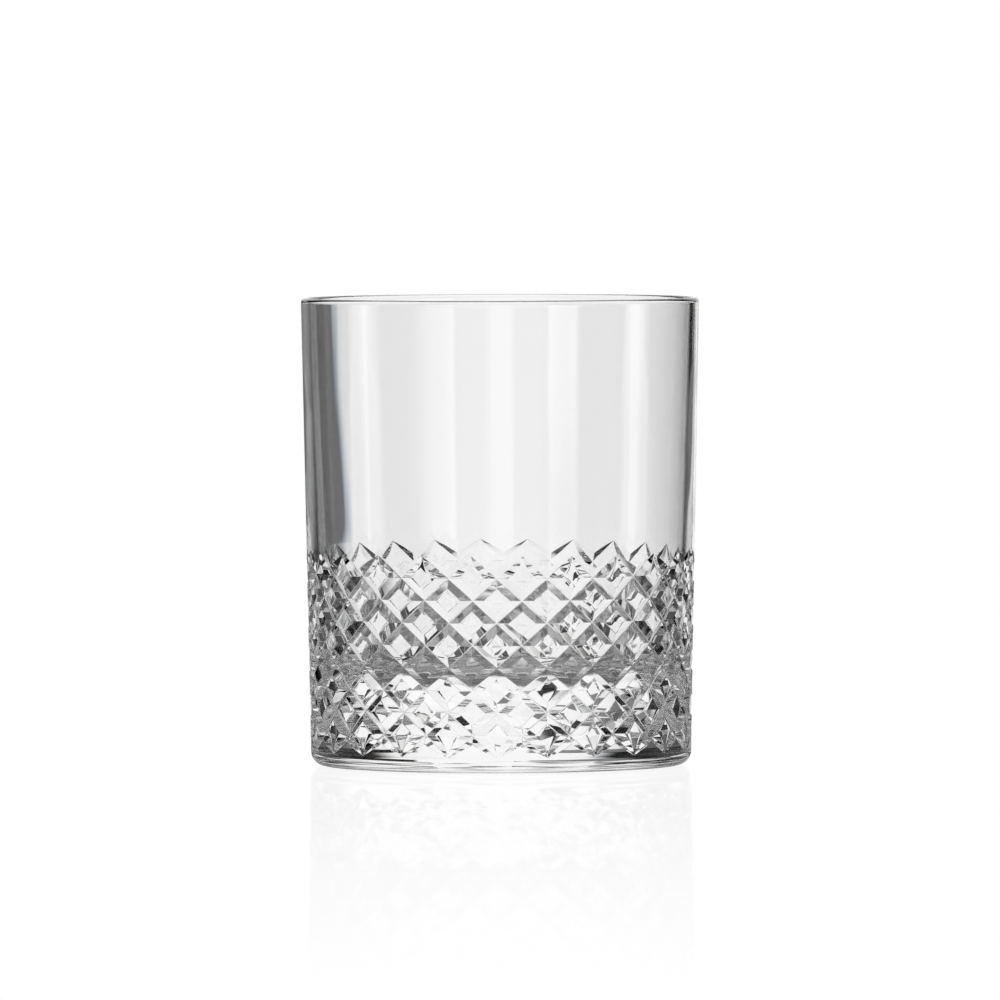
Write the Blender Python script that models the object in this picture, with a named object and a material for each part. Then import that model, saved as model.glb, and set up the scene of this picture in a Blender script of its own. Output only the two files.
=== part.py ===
"""Cut-glass whiskey tumbler, in metres, +Z up, standing on z = 0 round the Z axis.

The tumbler is one piece of clear crystal: a thick solid base, a slightly flared wall
with a fire-polished rim, and a band of V-grooves cut into the lower wall. Two sets of
grooves wind opposite ways round the wall and cross in a lattice. Each cell of the
lattice is a low pyramid whose flat diamond top is the uncut wall. Every groove runs
out to nothing at both ends, which leaves a row of pointed leaves above and below.
"""

from math import atan2, cos, pi, radians, sin, sqrt

import bmesh
import bpy

# Overall shape
HEIGHT = 0.095
RIM_RADIUS = 0.0405
FOOT_RADIUS = 0.0386
FOOT_ROUND = 0.0028
RIM_WALL = 0.00175
FLOOR_WALL = 0.0030
WALL_GROWTH = 1.6
FLOOR_HEIGHT = 0.018
FLOOR_ROUND = 0.006

# Cut lattice: heights of its lowest and highest tips, grooves each way, rows of cells
CUT_BOTTOM = 0.0031
CUT_TOP = 0.04375
GROOVES = 24
ROWS = 9
GROOVE_DEPTH = 0.0010
GROOVE_SHARE = 0.49

# Fineness of the mesh
COLUMNS_PER_CUT = 4
FLAT_COLUMNS = 2
RUNOUT_STEPS = 4
RIM_STEPS = 6
FLOOR_ROUND_STEPS = 6
FOOT_ROUND_STEPS = 4
INNER_WALL_STEPS = 4

WELD_DISTANCE = 1e-6
SMOOTH_ANGLE = radians(20)

# Grooves are placed on a grid of columns round the wall and rows down from the top tips
COLUMN_ANGLE = 2 * pi / GROOVES
ROW_HEIGHT = (CUT_TOP - CUT_BOTTOM) / ROWS
HALF_GROOVE = GROOVE_SHARE / 2
FIRST_TIP_ANGLE = -COLUMN_ANGLE / 2


def outer_radius(z):
    """Radius of the uncut outer wall at height z."""
    return FOOT_RADIUS + (RIM_RADIUS - FOOT_RADIUS) * z / HEIGHT


def inner_radius(z):
    """Radius of the cavity at height z: the wall thickens towards the floor."""
    depth = (HEIGHT - z) / (HEIGHT - FLOOR_HEIGHT)
    wall = RIM_WALL + (FLOOR_WALL - RIM_WALL) * max(depth, 0.0) ** WALL_GROWTH
    return outer_radius(z) - wall


def around(radius, z, angle):
    """Point at a radius and height, its angle measured from -Y towards +X."""
    return (radius * sin(angle), -radius * cos(angle), z)


def wall_point(column, row, depth):
    """Point on the lattice, cut in by a depth."""
    z = CUT_TOP - row * ROW_HEIGHT
    return around(outer_radius(z) - depth, z, FIRST_TIP_ANGLE + column * COLUMN_ANGLE)


def cut_share(row):
    """How much of its full depth and width a groove has: it runs out at both ends."""
    end = min(row, ROWS - row, 1.0)
    return 1.0 - (1.0 - end) ** 2


def mitre_above(row):
    """Rows from a crossing up to the corner of the flat above it."""
    if row == ROWS:
        return 0.0
    if row == 1:
        # The grooves narrow as they rise, which pulls the corner down to the crossing
        return (sqrt(1 + 16 * HALF_GROOVE ** 2) - 1) / (4 * HALF_GROOVE)
    return 2 * HALF_GROOVE


def mitre_below(row):
    """Rows from a crossing down to the corner of the flat below it."""
    return mitre_above(ROWS - row)


def steps_between(low, high, steps):
    return [low + (high - low) * i / steps for i in range(steps + 1)]


def groove_steps(top_row):
    return RUNOUT_STEPS if top_row in (0, ROWS - 1) else 1


def groove_bottom(column, row, turn):
    """Lowest line of a groove from the crossing at (column, row) down to the next row."""
    points = []
    for level in steps_between(row, row + 1, groove_steps(row)):
        across = column + turn * (level - row) / 2
        points.append((across, level, GROOVE_DEPTH * cut_share(level)))
    return points


def flat_edge(column, row, turn, side):
    """Top edge of one side of that groove: side is 1 above the groove, -1 below it."""
    if side > 0:
        levels = steps_between(row, row + 1 - mitre_above(row + 1), groove_steps(row))
    else:
        levels = steps_between(row + mitre_below(row), row + 1, groove_steps(row))
    points = []
    for level in levels:
        offset = side * HALF_GROOVE * cut_share(level)
        points.append((column + turn * ((level - row) / 2 + offset), level, 0.0))
    return points


def add_ladder(bm, left, right, columns=1):
    """Faces between two rows of lattice points, which may meet at their ends."""
    grid = []
    for start, end in zip(left, right):
        rung = []
        for i in range(columns + 1):
            share = i / columns
            spot = [a + (b - a) * share for a, b in zip(start, end)]
            rung.append(bm.verts.new(wall_point(*spot)))
        grid.append(rung)
    add_grid_faces(bm, grid)


def add_grid_faces(bm, grid):
    for upper, lower in zip(grid, grid[1:]):
        for i in range(len(upper) - 1):
            bm.faces.new((upper[i], lower[i], lower[i + 1], upper[i + 1]))


def add_grooves(bm):
    """The two sloping sides of every stretch of groove between crossings."""
    for number in range(GROOVES):
        for row in range(ROWS):
            column = number + 0.5 * (row % 2)
            for turn in (-1, 1):
                bottom = groove_bottom(column, row, turn)
                for side in (-1, 1):
                    add_ladder(bm, bottom, flat_edge(column, row, turn, side))


def add_flats(bm):
    """The uncut wall inside each cell, and between the tips at the band's two edges."""
    for number in range(GROOVES):
        for row in range(ROWS + 1):
            column = number + 0.5 * ((row + 1) % 2)
            sides = []
            for turn in (-1, 1):
                edge = []
                if row > 0:
                    edge += flat_edge(column, row - 1, turn, -1)
                if row < ROWS:
                    edge += flat_edge(column + turn / 2, row, -turn, 1)[1 if edge else 0:]
                sides.append(edge)
            columns = COLUMNS_PER_CUT if row in (0, ROWS) else FLAT_COLUMNS
            add_ladder(bm, sides[0], sides[1], columns)


def arc(centre, radius, start, end, steps):
    """Profile points along an arc, angles measured from the outward radius."""
    angles = steps_between(start, end, steps)
    return [(centre[0] + radius * cos(a), centre[1] + radius * sin(a)) for a in angles]


def upper_profile():
    """From the top tips up the outside, over the rim, down the cavity and across its floor."""
    flare = atan2(RIM_RADIUS - FOOT_RADIUS, HEIGHT)
    lip = RIM_WALL / 2
    lip_height = HEIGHT - lip
    lip_centre = (outer_radius(lip_height) - lip, lip_height)
    points = [(outer_radius(CUT_TOP), CUT_TOP)]
    points += arc(lip_centre, lip, -flare, pi + flare, RIM_STEPS)

    probe = 0.001
    corner_height = FLOOR_HEIGHT + FLOOR_ROUND
    slope = inner_radius(corner_height + probe) - inner_radius(corner_height - probe)
    lean = atan2(slope, 2 * probe)
    wall_end = corner_height - FLOOR_ROUND * sin(lean)
    for z in steps_between(lip_height, wall_end, INNER_WALL_STEPS)[1:-1]:
        points.append((inner_radius(z), z))
    corner = (inner_radius(wall_end) - FLOOR_ROUND * cos(lean), corner_height)
    points += arc(corner, FLOOR_ROUND, -lean, -pi / 2, FLOOR_ROUND_STEPS)
    return points


def lower_profile():
    """From the bottom tips down round the edge of the foot to its flat underside."""
    corner = (outer_radius(FOOT_ROUND) - FOOT_ROUND, FOOT_ROUND)
    points = [(outer_radius(CUT_BOTTOM), CUT_BOTTOM)]
    return points + arc(corner, FOOT_ROUND, 0, -pi / 2, FOOT_ROUND_STEPS)


def add_turned(bm, profile):
    """Faces swept round the axis along a profile, closed by a flat disc at its end."""
    count = GROOVES * COLUMNS_PER_CUT
    rings = []
    for radius, z in profile:
        ring = []
        for i in range(count):
            angle = FIRST_TIP_ANGLE + 2 * pi * i / count
            ring.append(bm.verts.new(around(radius, z, angle)))
        rings.append(ring)
    add_grid_faces(bm, [ring + ring[:1] for ring in rings])
    bm.faces.new(rings[-1])


def glass_material():
    material = bpy.data.materials.new("clear_crystal")
    material.use_nodes = True
    shader = material.node_tree.nodes["Principled BSDF"]
    shader.inputs["Base Color"].default_value = (0.93, 0.95, 0.95, 1.0)
    shader.inputs["Roughness"].default_value = 0.02
    shader.inputs["Metallic"].default_value = 0.0
    shader.inputs["IOR"].default_value = 1.54
    shader.inputs["Transmission Weight"].default_value = 1.0
    return material


def make_tumbler():
    bm = bmesh.new()
    add_grooves(bm)
    add_flats(bm)
    add_turned(bm, upper_profile())
    add_turned(bm, lower_profile())
    bmesh.ops.remove_doubles(bm, verts=bm.verts[:], dist=WELD_DISTANCE)
    bmesh.ops.recalc_face_normals(bm, faces=bm.faces[:])
    mesh = bpy.data.meshes.new("tumbler")
    bm.to_mesh(mesh)
    bm.free()
    mesh.shade_smooth()
    mesh.set_sharp_from_angle(angle=SMOOTH_ANGLE)
    mesh.materials.append(glass_material())
    tumbler = bpy.data.objects.new("tumbler", mesh)
    bpy.context.scene.collection.objects.link(tumbler)
    return tumbler


def main():
    for old in list(bpy.data.objects):
        bpy.data.objects.remove(old, do_unlink=True)
    make_tumbler()


main()
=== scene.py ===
"""Looks of the cut-glass whiskey tumbler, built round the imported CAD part.

The CAD solid is faceted, so a finer mesh of the same glass stands in for it: the same
wall, rim, cavity, foot and cut lattice, with smooth round surfaces and crisp cuts.
The studio is a pale floor in a white room whose darker stretches, out of the camera's
sight, are what draws the dark lines and facets that make clear glass visible.
"""

import random
from math import atan2, cos, pi, radians, sin, sqrt

import bmesh
import bpy
from mathutils import Matrix, Vector


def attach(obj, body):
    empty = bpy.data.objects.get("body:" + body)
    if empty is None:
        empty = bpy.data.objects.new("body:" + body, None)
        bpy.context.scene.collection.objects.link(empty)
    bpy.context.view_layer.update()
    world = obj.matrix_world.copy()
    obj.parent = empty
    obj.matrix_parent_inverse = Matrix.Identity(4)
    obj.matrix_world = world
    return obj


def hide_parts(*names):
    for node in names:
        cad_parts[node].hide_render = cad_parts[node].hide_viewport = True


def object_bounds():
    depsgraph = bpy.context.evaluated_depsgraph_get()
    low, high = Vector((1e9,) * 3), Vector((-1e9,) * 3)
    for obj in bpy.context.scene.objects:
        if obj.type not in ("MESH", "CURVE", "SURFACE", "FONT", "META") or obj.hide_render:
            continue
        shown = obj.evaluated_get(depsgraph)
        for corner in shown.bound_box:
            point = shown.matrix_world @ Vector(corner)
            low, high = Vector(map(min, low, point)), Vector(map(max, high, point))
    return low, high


# Wall, cavity and foot, as in the CAD part
RIM_RADIUS = 0.0405
FOOT_RADIUS = 0.0386
FOOT_ROUND = 0.0028
RIM_WALL = 0.00175
FLOOR_WALL = 0.0030
WALL_GROWTH = 1.6
FLOOR_HEIGHT = 0.018
FLOOR_ROUND = 0.006

# Cut lattice, as in the CAD part
CUT_BOTTOM = 0.0031
CUT_TOP = 0.04375
GROOVES = 24
ROWS = 9
GROOVE_DEPTH = 0.0010
GROOVE_SHARE = 0.49

# Polish of the cuts, as shares of a groove's half width or depth: it rounds the line
# along the bottom, the line along each flat and the ridges where two grooves meet
BOTTOM_ROUND = 0.07
EDGE_ROUND = 0.05
RIDGE_ROUND = 0.05

# How far the cutter strays: shares of a column, of a row and of the depth
STRAY_ACROSS = 0.012
STRAY_DOWN = 0.010
STRAY_DEPTH = 0.04
STRAY_FADE = 1.5

# Fineness of the mesh: steps, and where across a groove or beside a ridge they fall
COLUMNS_PER_CUT = 12
FLAT_COLUMNS = 4
GROOVE_SHARES = (0.0, 0.035, 0.07, 0.12, 0.9, 0.955, 1.0)
RIDGE_STEPS = (0.0, 0.008, 0.016, 0.03)
GROOVE_STEPS = 3
RUNOUT_STEPS = 7
RIM_STEPS = 12
FLOOR_ROUND_STEPS = 12
FOOT_ROUND_STEPS = 10
WALL_STEPS = 8
GUARD = 0.00015
SLOPE_PROBE = 0.001
WELD_DISTANCE = 1e-6
SMOOTH_ANGLE = radians(25)

# Crystal: waves in the surface, draw lines, smudges and the worn ring under the foot
GLASS_IOR = 1.54
GLASS_COLOUR = (0.995, 0.995, 0.995, 1.0)
WAVE_SCALE = 45.0
WAVE_HEIGHT = 0.00006
DRAW_SCALE = 160.0
DRAW_STRETCH = 0.06
DRAW_SHARE = 0.12
SMUDGE_SCALE = 70.0
SMUDGE_EDGES = (0.58, 0.75)
SMUDGE_ROUGHNESS = 0.02
SCRATCH_SCALE = 4000.0
SCRATCH_EDGES = (0.4, 0.6)
FOOT_SMOOTHEST = 0.05
FOOT_ROUGHNESS = 0.3
WEAR_HEIGHT = 0.0003
WEAR_RADIUS = 0.0350
WEAR_SOFT = 0.001

# Camera: a long lens, a little above the rim, looking slightly down
CAMERA_DISTANCE = 2.862
CAMERA_HEIGHT = 0.1451
CAMERA_AZIMUTH = radians(1.1)
CAMERA_ROLL = radians(-0.158)
AIM_HEIGHT = 0.0538
AIM_RIGHT = -0.0001
LENS_MM = 506.8
PRINT_GAMMA = 0.9

# Studio as the glass sees it, from 0 to 1, in directions measured from +Y towards +X and
# in heights above the horizon. Pairs are where a change begins and where it is complete.
# White panels stand at the back, front and both sides, each in a low and a high part.
PANEL_STEP = (radians(3.5), radians(6))
LOW_PANEL_CENTRE = radians(5.5)
LOW_PANEL_HALF = radians(12.5)
LOW_PANEL_SOFT = radians(1)
HIGH_PANEL_CENTRE = radians(1.5)
HIGH_PANEL_HALF = radians(27)
HIGH_PANEL_SOFT = radians(5)
PANEL_SPACING = pi / 2
BACK_PANEL_EDGE = (radians(44), radians(46))
BACK_PANEL = 0.97
LOW_SIDE_PANEL = 0.95
HIGH_SIDE_PANEL = 0.3
SIDE_PANEL_SHARE = 0.6

# Walls between the panels: dark, but for a glow low on the left, the rear and the ceiling
WALL_SHADE = 0.0
LOW_LEFT_SHADE = 0.25
LOW_LEFT_START = (radians(-40), radians(-25))
LOW_LEFT_END = (0.0, radians(5))
LOW_REAR_SHADE = 0.4
HIGH_REAR_SHADE = 0.7
REAR_EDGE = (radians(138), radians(158))
CEILING_EDGE = (radians(50), radians(75))
CEILING_SHADE = 1.0

# Upright strip of softbox at the right rear, narrower below the horizon
STRIP_LIGHT = 1.3
STRIP_START_LOW = radians(131)
STRIP_START_HIGH = radians(118)
STRIP_SOFT_LOW = radians(3)
STRIP_SOFT_HIGH = radians(20)
STRIP_STEP = (radians(-3.2), radians(-2))
STRIP_END = radians(149)
STRIP_END_SOFT = radians(3)
STRIP_BOTTOM = (radians(-9), radians(-5))
STRIP_TOP = (radians(8), radians(16))
COLOUR_FRINGE = radians(0.05)

# Floor: what the camera sees of it, and what the glass sees: a glowing sheet with a painted
# reflection of the room at a low angle, its own pale colour at a steep one, and a painted
# shadow under the tumbler
FLOOR_RADIUS = 0.8
FLOOR_SEGMENTS = 128
FLOOR_DROP = 0.0001
FLOOR_FADE = (0.1, 0.75)
FLOOR_SEEN = 0.9
FLOOR_SEEN_FROM = 0.04
FLOOR_GREY = 0.12
# Share of the room's brightness painted into the floor's glow as its reflection
FLOOR_PAINTED_REFLECTION = 0.8
FLOOR_PALE = 0.88
FLOOR_GLOSS = (0.1, 0.1, 0.1, 1)
FLOOR_GLOSS_ROUGHNESS = 0.02
HORIZON = (radians(-9), radians(-5))
STEEP_HEIGHT = (radians(-16), radians(-10))
STEEP_FACING = (0.7, 0.82)
STEEP_RADIUS = (0.065, 0.085)
# Painted shadow under the tumbler: the radii over which it ends, and its level
PAINTED_SHADOW_EDGE = (0.035, 0.041)
PAINTED_SHADOW_UNDER = 0.12

COLUMN_ANGLE = 2 * pi / GROOVES
ROW_HEIGHT = (CUT_TOP - CUT_BOTTOM) / ROWS
HALF_GROOVE = GROOVE_SHARE / 2
FIRST_TIP_ANGLE = -COLUMN_ANGLE / 2

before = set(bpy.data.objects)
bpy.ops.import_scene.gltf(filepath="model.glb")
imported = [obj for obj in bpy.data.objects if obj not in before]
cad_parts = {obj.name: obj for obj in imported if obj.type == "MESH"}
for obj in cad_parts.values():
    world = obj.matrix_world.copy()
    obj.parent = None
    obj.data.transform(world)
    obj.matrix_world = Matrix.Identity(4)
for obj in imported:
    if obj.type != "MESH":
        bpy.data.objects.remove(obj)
cad_low, cad_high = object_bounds()
HEIGHT = cad_high[2]


def outer_radius(z):
    """Radius of the uncut outer wall at height z."""
    return FOOT_RADIUS + (RIM_RADIUS - FOOT_RADIUS) * z / HEIGHT


def inner_radius(z):
    """Radius of the cavity at height z: the wall thickens towards the floor."""
    depth = (HEIGHT - z) / (HEIGHT - FLOOR_HEIGHT)
    wall = RIM_WALL + (FLOOR_WALL - RIM_WALL) * max(depth, 0.0) ** WALL_GROWTH
    return outer_radius(z) - wall


def around(radius, z, angle):
    """Point at a radius and height, its angle measured from -Y towards +X."""
    return (radius * sin(angle), -radius * cos(angle), z)


def make_stray(seed, waves):
    """A smooth wander over the lattice, within about -1 to 1, the same every time."""
    chance = random.Random(seed)
    parts = []
    for _ in range(waves):
        turns = chance.randint(2, 11)
        down = chance.uniform(-2.5, 2.5)
        parts.append((turns, down, chance.uniform(0, 2 * pi)))

    def stray(column, row):
        fades = min(1.0, row / STRAY_FADE, (ROWS - row) / STRAY_FADE)
        total = 0.0
        for turns, down, start in parts:
            total += sin(turns * column * COLUMN_ANGLE + down * row + start)
        return total * fades / sqrt(waves)

    return stray


stray_across = make_stray(3, 6)
stray_down = make_stray(5, 6)
stray_depth = make_stray(8, 8)


def cut_share(row):
    """How much of its full depth and width a groove has: it runs out at both ends."""
    end = min(row, ROWS - row, 1.0)
    return 1.0 - (1.0 - end) ** 2


def groove_profile(off):
    """Depth across one groove, from 1 at its bottom to 0 at its edge, both rounded."""
    rise = 1.0 - off
    if rise <= 0.0:
        return 0.0
    depth = rise - EDGE_ROUND / 2
    if rise < EDGE_ROUND:
        depth = rise * rise / (2 * EDGE_ROUND)
    if off < BOTTOM_ROUND:
        depth -= (BOTTOM_ROUND - off) ** 2 / (2 * BOTTOM_ROUND)
    return depth


def cut_depth(column, row):
    """Depth of the cut at a place on the lattice, from the two grooves nearest to it."""
    share = cut_share(row)
    if share < 1e-6:
        return 0.0
    depths = []
    for turn in (-1, 1):
        line = column + turn * row / 2
        off = abs(line - round(line)) / (HALF_GROOVE * share)
        depths.append(groove_profile(off))
    low, high = min(depths), max(depths)
    blend = min(RIDGE_ROUND, low)
    if high - low < blend:
        high += (blend - (high - low)) ** 2 / (4 * blend)
    return GROOVE_DEPTH * share * high * (1 + STRAY_DEPTH * stray_depth(column, row))


def wall_point(column, row):
    """Point on the cut wall."""
    depth = cut_depth(column, row)
    across = column + STRAY_ACROSS * stray_across(column, row)
    z = CUT_TOP - (row + STRAY_DOWN * stray_down(column, row)) * ROW_HEIGHT
    return around(outer_radius(z) - depth, z, FIRST_TIP_ANGLE + across * COLUMN_ANGLE)


def mitre_above(row):
    """Rows from a crossing up to the corner of the flat above it."""
    if row == ROWS:
        return 0.0
    if row == 1:
        return (sqrt(1 + 16 * HALF_GROOVE ** 2) - 1) / (4 * HALF_GROOVE)
    return 2 * HALF_GROOVE


def mitre_below(row):
    """Rows from a crossing down to the corner of the flat below it."""
    return mitre_above(ROWS - row)


def steps_between(low, high, steps):
    return [low + (high - low) * i / steps for i in range(steps + 1)]


def guarded_steps(low, high, steps):
    """Even steps with one more close to each end, so that smooth shading stays true."""
    guard = GUARD if high > low else -GUARD
    return [low, low + guard] + steps_between(low, high, steps)[1:-1] + [high - guard, high]


def groove_levels(top_row, low, high):
    """Levels along a stretch of groove, closer together beside its two ridges."""
    count = RUNOUT_STEPS if top_row in (0, ROWS - 1) else GROOVE_STEPS
    middle = steps_between(RIDGE_STEPS[-1], 1 - RIDGE_STEPS[-1], count)
    shares = list(RIDGE_STEPS[:-1]) + middle + [1 - step for step in RIDGE_STEPS[-2::-1]]
    return [low + (high - low) * share for share in shares]


def groove_bottom(column, row, turn):
    """Lowest line of a groove from the crossing at (column, row) down to the next row."""
    levels = groove_levels(row, row, row + 1)
    return [(column + turn * (level - row) / 2, level) for level in levels]


def flat_edge(column, row, turn, side):
    """Top edge of one side of that groove: side is 1 above the groove, -1 below it."""
    if side > 0:
        levels = groove_levels(row, row, row + 1 - mitre_above(row + 1))
    else:
        levels = groove_levels(row, row + mitre_below(row), row + 1)
    points = []
    for level in levels:
        offset = side * HALF_GROOVE * cut_share(level)
        points.append((column + turn * ((level - row) / 2 + offset), level))
    return points


def add_ladder(bm, left, right, shares):
    """Faces between two rows of lattice places, which may meet at their ends."""
    grid = []
    for start, end in zip(left, right):
        rung = []
        for share in shares:
            place = [a + (b - a) * share for a, b in zip(start, end)]
            rung.append(bm.verts.new(wall_point(*place)))
        grid.append(rung)
    add_grid_faces(bm, grid)


def add_grid_faces(bm, grid):
    for upper, lower in zip(grid, grid[1:]):
        for i in range(len(upper) - 1):
            bm.faces.new((upper[i], lower[i], lower[i + 1], upper[i + 1]))


def add_grooves(bm):
    """The two sloping sides of every stretch of groove between crossings."""
    for number in range(GROOVES):
        for row in range(ROWS):
            column = number + 0.5 * (row % 2)
            for turn in (-1, 1):
                bottom = groove_bottom(column, row, turn)
                for side in (-1, 1):
                    add_ladder(bm, bottom, flat_edge(column, row, turn, side), GROOVE_SHARES)


def add_flats(bm):
    """The uncut wall inside each cell, and between the tips at the band's two edges."""
    for number in range(GROOVES):
        for row in range(ROWS + 1):
            column = number + 0.5 * ((row + 1) % 2)
            sides = []
            for turn in (-1, 1):
                edge = []
                if row > 0:
                    edge += flat_edge(column, row - 1, turn, -1)
                if row < ROWS:
                    edge += flat_edge(column + turn / 2, row, -turn, 1)[1 if edge else 0:]
                sides.append(edge)
            columns = COLUMNS_PER_CUT if row in (0, ROWS) else FLAT_COLUMNS
            add_ladder(bm, sides[0], sides[1], steps_between(0, 1, columns))


def arc(centre, radius, start, end, steps):
    """Profile points along an arc, angles measured from the outward radius."""
    angles = steps_between(start, end, steps)
    return [(centre[0] + radius * cos(a), centre[1] + radius * sin(a)) for a in angles]


def upper_profile():
    """From the top tips up the outside, over the rim, down the cavity and across its floor."""
    flare = atan2(RIM_RADIUS - FOOT_RADIUS, HEIGHT)
    lip = RIM_WALL / 2
    lip_height = HEIGHT - lip
    lip_centre = (outer_radius(lip_height) - lip, lip_height)
    points = []
    for z in guarded_steps(CUT_TOP, lip_height, WALL_STEPS)[:-1]:
        points.append((outer_radius(z), z))
    points += arc(lip_centre, lip, -flare, pi + flare, RIM_STEPS)

    corner_height = FLOOR_HEIGHT + FLOOR_ROUND
    above = inner_radius(corner_height + SLOPE_PROBE)
    below = inner_radius(corner_height - SLOPE_PROBE)
    lean = atan2(above - below, 2 * SLOPE_PROBE)
    wall_end = corner_height - FLOOR_ROUND * sin(lean)
    for z in guarded_steps(lip_height, wall_end, WALL_STEPS)[1:-1]:
        points.append((inner_radius(z), z))
    corner = (inner_radius(wall_end) - FLOOR_ROUND * cos(lean), corner_height)
    points += arc(corner, FLOOR_ROUND, -lean, -pi / 2, FLOOR_ROUND_STEPS)
    points.append((corner[0] - GUARD, FLOOR_HEIGHT))
    return points


def lower_profile():
    """From the bottom tips down round the edge of the foot to its flat underside."""
    corner = (outer_radius(FOOT_ROUND) - FOOT_ROUND, FOOT_ROUND)
    points = [(outer_radius(CUT_BOTTOM), CUT_BOTTOM)]
    points += arc(corner, FOOT_ROUND, 0, -pi / 2, FOOT_ROUND_STEPS)
    points.append((corner[0] - GUARD, 0.0))
    return points


def add_turned(bm, profile):
    """Faces swept round the axis along a profile, closed by a flat disc at its end."""
    count = GROOVES * COLUMNS_PER_CUT
    last_radius, last_z = profile[-1]
    rings = []
    for radius, z in profile + [(last_radius / 2, last_z)]:
        ring = []
        for i in range(count):
            angle = FIRST_TIP_ANGLE + 2 * pi * i / count
            ring.append(bm.verts.new(around(radius, z, angle)))
        rings.append(ring)
    add_grid_faces(bm, [ring + ring[:1] for ring in rings])
    centre = bm.verts.new((0, 0, last_z))
    for a, b in zip(rings[-1], rings[-1][1:] + rings[-1][:1]):
        bm.faces.new((a, centre, b))


def make_tumbler():
    """The whole tumbler as one closed mesh, smooth but for the edges of the cuts."""
    bm = bmesh.new()
    add_grooves(bm)
    add_flats(bm)
    add_turned(bm, upper_profile())
    add_turned(bm, lower_profile())
    bmesh.ops.remove_doubles(bm, verts=bm.verts[:], dist=WELD_DISTANCE)
    bmesh.ops.recalc_face_normals(bm, faces=bm.faces[:])
    mesh = bpy.data.meshes.new("crystal_tumbler")
    bm.to_mesh(mesh)
    bm.free()
    mesh.shade_smooth()
    mesh.set_sharp_from_angle(angle=SMOOTH_ANGLE)
    tumbler = bpy.data.objects.new("crystal_tumbler", mesh)
    bpy.context.scene.collection.objects.link(tumbler)
    return tumbler


class Nodes:
    """Short ways to add nodes to a tree."""

    def __init__(self, tree):
        self.tree = tree
        tree.nodes.clear()

    def new(self, kind, **inputs):
        node = self.tree.nodes.new(kind)
        for name, value in inputs.items():
            self.feed(node.inputs[name.replace("_", " ")], value)
        return node

    def feed(self, socket, value):
        if isinstance(value, bpy.types.NodeSocket):
            self.tree.links.new(value, socket)
        else:
            socket.default_value = value

    def math(self, operation, *values):
        node = self.tree.nodes.new("ShaderNodeMath")
        node.operation = operation
        for socket, value in zip(node.inputs, values):
            self.feed(socket, value)
        return node.outputs[0]

    def length(self, x, y):
        """Distance of (x, y) from the origin."""
        return self.math("SQRT", self.math("ADD", self.math("MULTIPLY", x, x),
                                           self.math("MULTIPLY", y, y)))

    def fade(self, value, low, high, at_low=0.0, at_high=1.0):
        """Smooth change from at_low to at_high as value goes from low to high."""
        node = self.tree.nodes.new("ShaderNodeMapRange")
        node.interpolation_type = "SMOOTHSTEP"
        for socket, number in zip(node.inputs, (value, low, high, at_low, at_high)):
            self.feed(socket, number)
        return node.outputs[0]

    def blend(self, share, first, second):
        """Value that goes straight from first to second as the share goes from 0 to 1."""
        node = self.tree.nodes.new("ShaderNodeMapRange")
        for socket, number in zip(node.inputs, (share, 0.0, 1.0, first, second)):
            self.feed(socket, number)
        return node.outputs[0]


def glass_material():
    """Clear crystal: faint waves and upright draw lines, a few dull smudges, a worn foot."""
    material = bpy.data.materials.new("clear_crystal")
    material.use_nodes = True
    g = Nodes(material.node_tree)
    place = g.new("ShaderNodeTexCoord").outputs["Object"]
    x, y, z = g.new("ShaderNodeSeparateXYZ", Vector=place).outputs
    waves = g.new("ShaderNodeTexNoise", Vector=place, Scale=WAVE_SCALE, Detail=1.0)
    stretched = g.new("ShaderNodeCombineXYZ", X=x, Y=y, Z=g.math("MULTIPLY", z, DRAW_STRETCH))
    draws = g.new("ShaderNodeTexNoise", Vector=stretched.outputs[0], Scale=DRAW_SCALE, Detail=2.0)
    drawn = g.math("MULTIPLY", draws.outputs[0], DRAW_SHARE)
    relief = g.math("ADD", waves.outputs[0], drawn)
    bump = g.new("ShaderNodeBump", Height=relief, Distance=WAVE_HEIGHT, Strength=1.0)

    smudges = g.new("ShaderNodeTexNoise", Vector=place, Scale=SMUDGE_SCALE, Detail=4.0)
    smudge = g.fade(smudges.outputs[0], *SMUDGE_EDGES, 0.0, SMUDGE_ROUGHNESS)
    scratches = g.new("ShaderNodeTexNoise", Vector=place, Scale=SCRATCH_SCALE, Detail=3.0)
    worn = g.fade(scratches.outputs[0], *SCRATCH_EDGES, FOOT_SMOOTHEST, FOOT_ROUGHNESS)
    wear = g.math("MULTIPLY", worn, g.fade(z, WEAR_HEIGHT / 2, WEAR_HEIGHT, 1.0, 0.0))
    ring = g.fade(g.length(x, y), WEAR_RADIUS - WEAR_SOFT, WEAR_RADIUS)
    wear = g.math("MULTIPLY", wear, ring)
    roughness = g.math("ADD", smudge, wear)

    shader = g.new("ShaderNodeBsdfPrincipled", Roughness=roughness, IOR=GLASS_IOR)
    shader.inputs["Base Color"].default_value = GLASS_COLOUR
    shader.inputs["Transmission Weight"].default_value = 1.0
    g.feed(shader.inputs["Normal"], bump.outputs[0])
    out = g.tree.nodes.new("ShaderNodeOutputMaterial")
    g.feed(out.inputs["Surface"], shader.outputs[0])
    return material


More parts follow.
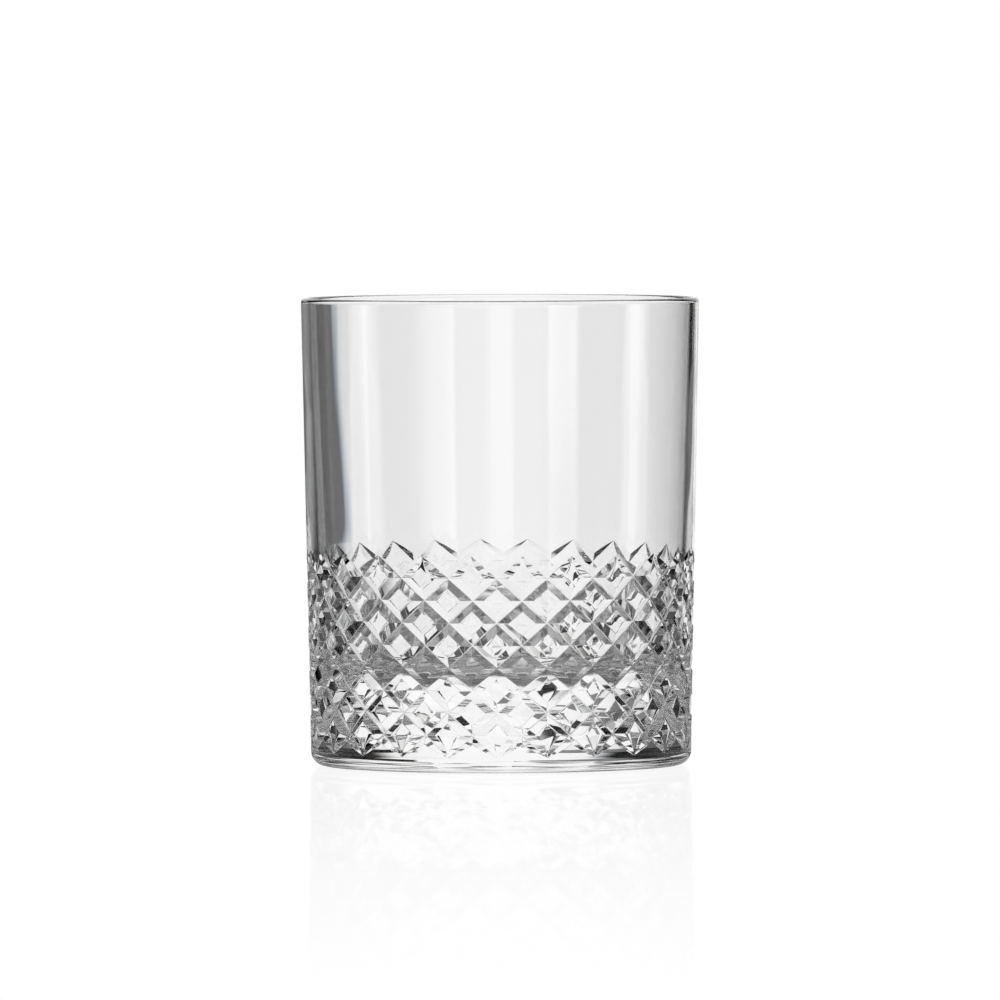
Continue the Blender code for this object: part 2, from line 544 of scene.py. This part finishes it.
def room_shade(g, azimuth, height):
    """Brightness of the studio's walls and panels in a direction, as the glass sees it."""
    high = g.fade(height, *PANEL_STEP)
    side = g.fade(g.math("ABSOLUTE", azimuth), *BACK_PANEL_EDGE)
    centre = g.blend(side, g.blend(high, LOW_PANEL_CENTRE, HIGH_PANEL_CENTRE), 0.0)
    half = g.blend(high, LOW_PANEL_HALF, HIGH_PANEL_HALF)
    half = g.math("MULTIPLY", half, g.blend(side, 1.0, SIDE_PANEL_SHARE))
    soft = g.blend(high, LOW_PANEL_SOFT, HIGH_PANEL_SOFT)
    off = g.math("PINGPONG", g.math("SUBTRACT", azimuth, centre), PANEL_SPACING / 2)
    panel = g.fade(off, g.math("SUBTRACT", half, soft), g.math("ADD", half, soft), 1.0, 0.0)
    side_light = g.blend(high, LOW_SIDE_PANEL, HIGH_SIDE_PANEL)
    panel = g.math("MULTIPLY", panel, g.blend(side, BACK_PANEL, side_light))

    left = g.fade(azimuth, *LOW_LEFT_START, 0.0, LOW_LEFT_SHADE)
    left = g.math("MULTIPLY", left, g.fade(azimuth, *LOW_LEFT_END, 1.0, 0.0))
    left = g.math("MULTIPLY", left, g.math("SUBTRACT", 1.0, high))
    ceiling = g.fade(height, *CEILING_EDGE, WALL_SHADE, CEILING_SHADE)
    rear = g.fade(g.math("ABSOLUTE", azimuth), *REAR_EDGE)
    rear = g.math("MULTIPLY", rear, g.blend(high, LOW_REAR_SHADE, HIGH_REAR_SHADE))
    wall = g.math("MAXIMUM", g.math("MAXIMUM", ceiling, rear), left)
    return g.math("MAXIMUM", panel, wall)


def softbox_strip(g, azimuth, height):
    """Brightness of the strip of softbox in a direction."""
    above = g.fade(height, *STRIP_STEP)
    start = g.blend(above, STRIP_START_LOW, STRIP_START_HIGH)
    soft = g.blend(above, STRIP_SOFT_LOW, STRIP_SOFT_HIGH)
    strip = g.fade(azimuth, start, g.math("ADD", start, soft), 0.0, STRIP_LIGHT)
    end = g.fade(azimuth, STRIP_END, STRIP_END + STRIP_END_SOFT, 1.0, 0.0)
    strip = g.math("MULTIPLY", strip, end)
    strip = g.math("MULTIPLY", strip, g.fade(height, *STRIP_BOTTOM))
    return g.math("MULTIPLY", strip, g.fade(height, *STRIP_TOP, 1.0, 0.0))


def floor_grey_and_painted_reflection(g, azimuth, height):
    """Brightness of the floor at a low angle: its own grey and a painted reflection of the room.
    """
    painted_reflection = g.math("MULTIPLY", room_shade(g, azimuth, height), FLOOR_PAINTED_REFLECTION)
    return g.math("ADD", painted_reflection, FLOOR_GREY)


def surroundings(g, azimuth, height):
    """The room and its softbox above the horizon, and the far floor below it."""
    size = g.math("ABSOLUTE", height)
    room = g.math("ADD", room_shade(g, azimuth, size), softbox_strip(g, azimuth, height))
    steep = g.fade(height, *STEEP_HEIGHT, 1.0, 0.0)
    # Far floor below the horizon: its grey with a painted reflection of the room, pale at a steep
    # angle
    ground = g.blend(steep, floor_grey_and_painted_reflection(g, azimuth, size), FLOOR_PALE)
    return g.blend(g.fade(height, *HORIZON), ground, room)


def studio_world():
    """White room for the camera; for the glass, white panels in front of dark walls."""
    world = bpy.data.worlds.new("studio")
    bpy.context.scene.world = world
    world.use_nodes = True
    g = Nodes(world.node_tree)
    place = g.new("ShaderNodeTexCoord").outputs["Generated"]
    x, y, z = g.new("ShaderNodeSeparateXYZ", Vector=place).outputs
    azimuth = g.math("ARCTAN2", x, y)
    height = g.math("ARCSINE", z)
    level = g.tree.nodes.new("ShaderNodeCombineColor")
    for socket, shift in zip(level.inputs, (-COLOUR_FRINGE, 0.0, COLOUR_FRINGE)):
        g.feed(socket, surroundings(g, g.math("ADD", azimuth, shift), height))
    studio = g.new("ShaderNodeBackground", Color=level.outputs[0])
    backdrop = g.new("ShaderNodeBackground", Color=(1, 1, 1, 1))
    rays = g.new("ShaderNodeLightPath")
    mix = g.tree.nodes.new("ShaderNodeMixShader")
    g.feed(mix.inputs[0], rays.outputs["Is Camera Ray"])
    g.feed(mix.inputs[1], studio.outputs[0])
    g.feed(mix.inputs[2], backdrop.outputs[0])
    out = g.tree.nodes.new("ShaderNodeOutputWorld")
    g.feed(out.inputs["Surface"], mix.outputs[0])


def floor_material():
    """Pale glossy floor that clears towards its edge, so that it has no visible end; its glow
    carries a painted reflection and a painted shadow.
    """
    material = bpy.data.materials.new("pale_floor")
    material.use_nodes = True
    g = Nodes(material.node_tree)
    place = g.new("ShaderNodeTexCoord").outputs["Object"]
    x, y = g.new("ShaderNodeSeparateXYZ", Vector=place).outputs[:2]
    far = g.length(x, y)
    height = g.math("ARCTAN2", FLOOR_SEEN_FROM, g.math("SUBTRACT", far, FOOT_RADIUS))
    height = g.math("MINIMUM", height, CEILING_EDGE[0])
    # Painted reflection of the room in the floor's glow, as the glass sees it
    floor_painted_light = floor_grey_and_painted_reflection(g, g.math("ARCTAN2", x, y), height)
    # Towards a steep view the painted reflection gives way to the floor's pale colour
    facing = g.new("ShaderNodeLayerWeight", Blend=0.5).outputs["Facing"]
    steep = g.fade(facing, *STEEP_FACING, 1.0, 0.0)
    steep = g.math("MULTIPLY", steep, g.fade(far, *STEEP_RADIUS))
    floor_painted_light = g.blend(steep, floor_painted_light, FLOOR_PALE)
    # Painted shadow: the floor's glow is dark inside the foot's radius
    floor_painted_light = g.blend(g.fade(far, *PAINTED_SHADOW_EDGE), PAINTED_SHADOW_UNDER, floor_painted_light)

    rays = g.new("ShaderNodeLightPath")
    # The camera sees an even pale glow; the glass sees the painted reflection and painted shadow
    level = g.blend(rays.outputs["Is Camera Ray"], floor_painted_light, FLOOR_SEEN)
    glow = g.new("ShaderNodeEmission", Color=level, Strength=1.0)
    gloss = g.new("ShaderNodeBsdfGlossy", Color=FLOOR_GLOSS, Roughness=FLOOR_GLOSS_ROUGHNESS)
    both = g.tree.nodes.new("ShaderNodeAddShader")
    g.feed(both.inputs[0], glow.outputs[0])
    g.feed(both.inputs[1], gloss.outputs[0])
    clear = g.new("ShaderNodeBsdfTransparent")
    mix = g.tree.nodes.new("ShaderNodeMixShader")
    g.feed(mix.inputs[0], g.fade(far, *FLOOR_FADE, 1.0, 0.0))
    g.feed(mix.inputs[1], clear.outputs[0])
    g.feed(mix.inputs[2], both.outputs[0])
    out = g.tree.nodes.new("ShaderNodeOutputMaterial")
    g.feed(out.inputs["Surface"], mix.outputs[0])
    return material


def make_floor():
    """Round sheet just under the foot."""
    bm = bmesh.new()
    bmesh.ops.create_circle(bm, cap_ends=True, radius=FLOOR_RADIUS, segments=FLOOR_SEGMENTS)
    mesh = bpy.data.meshes.new("floor")
    bm.to_mesh(mesh)
    bm.free()
    mesh.materials.append(floor_material())
    floor = bpy.data.objects.new("floor", mesh)
    floor.location.z = -FLOOR_DROP
    bpy.context.scene.collection.objects.link(floor)
    return floor


def make_camera():
    """Camera on a circle round the tumbler, aimed at its middle."""
    camera = bpy.data.objects.new("camera", bpy.data.cameras.new("camera"))
    bpy.context.scene.collection.objects.link(camera)
    place = Vector(around(CAMERA_DISTANCE, CAMERA_HEIGHT, CAMERA_AZIMUTH))
    target = Vector((AIM_RIGHT, 0, AIM_HEIGHT))
    turn = (target - place).to_track_quat("-Z", "Y").to_matrix().to_4x4()
    roll = Matrix.Rotation(CAMERA_ROLL, 4, "Z")
    camera.matrix_world = Matrix.Translation(place) @ turn @ roll
    camera.data.lens = LENS_MM
    camera.data.clip_start = 0.1
    camera.data.clip_end = 20
    bpy.context.scene.camera = camera


tumbler = make_tumbler()
tumbler.data.materials.append(glass_material())
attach(tumbler, "root")
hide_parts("tumbler")

floor = make_floor()

studio_world()
make_camera()

scene = bpy.context.scene
scene.view_settings.view_transform = "Standard"
scene.view_settings.gamma = PRINT_GAMMA
scene.cycles.max_bounces = 32
scene.cycles.transmission_bounces = 32
scene.cycles.glossy_bounces = 16
scene.cycles.transparent_max_bounces = 16
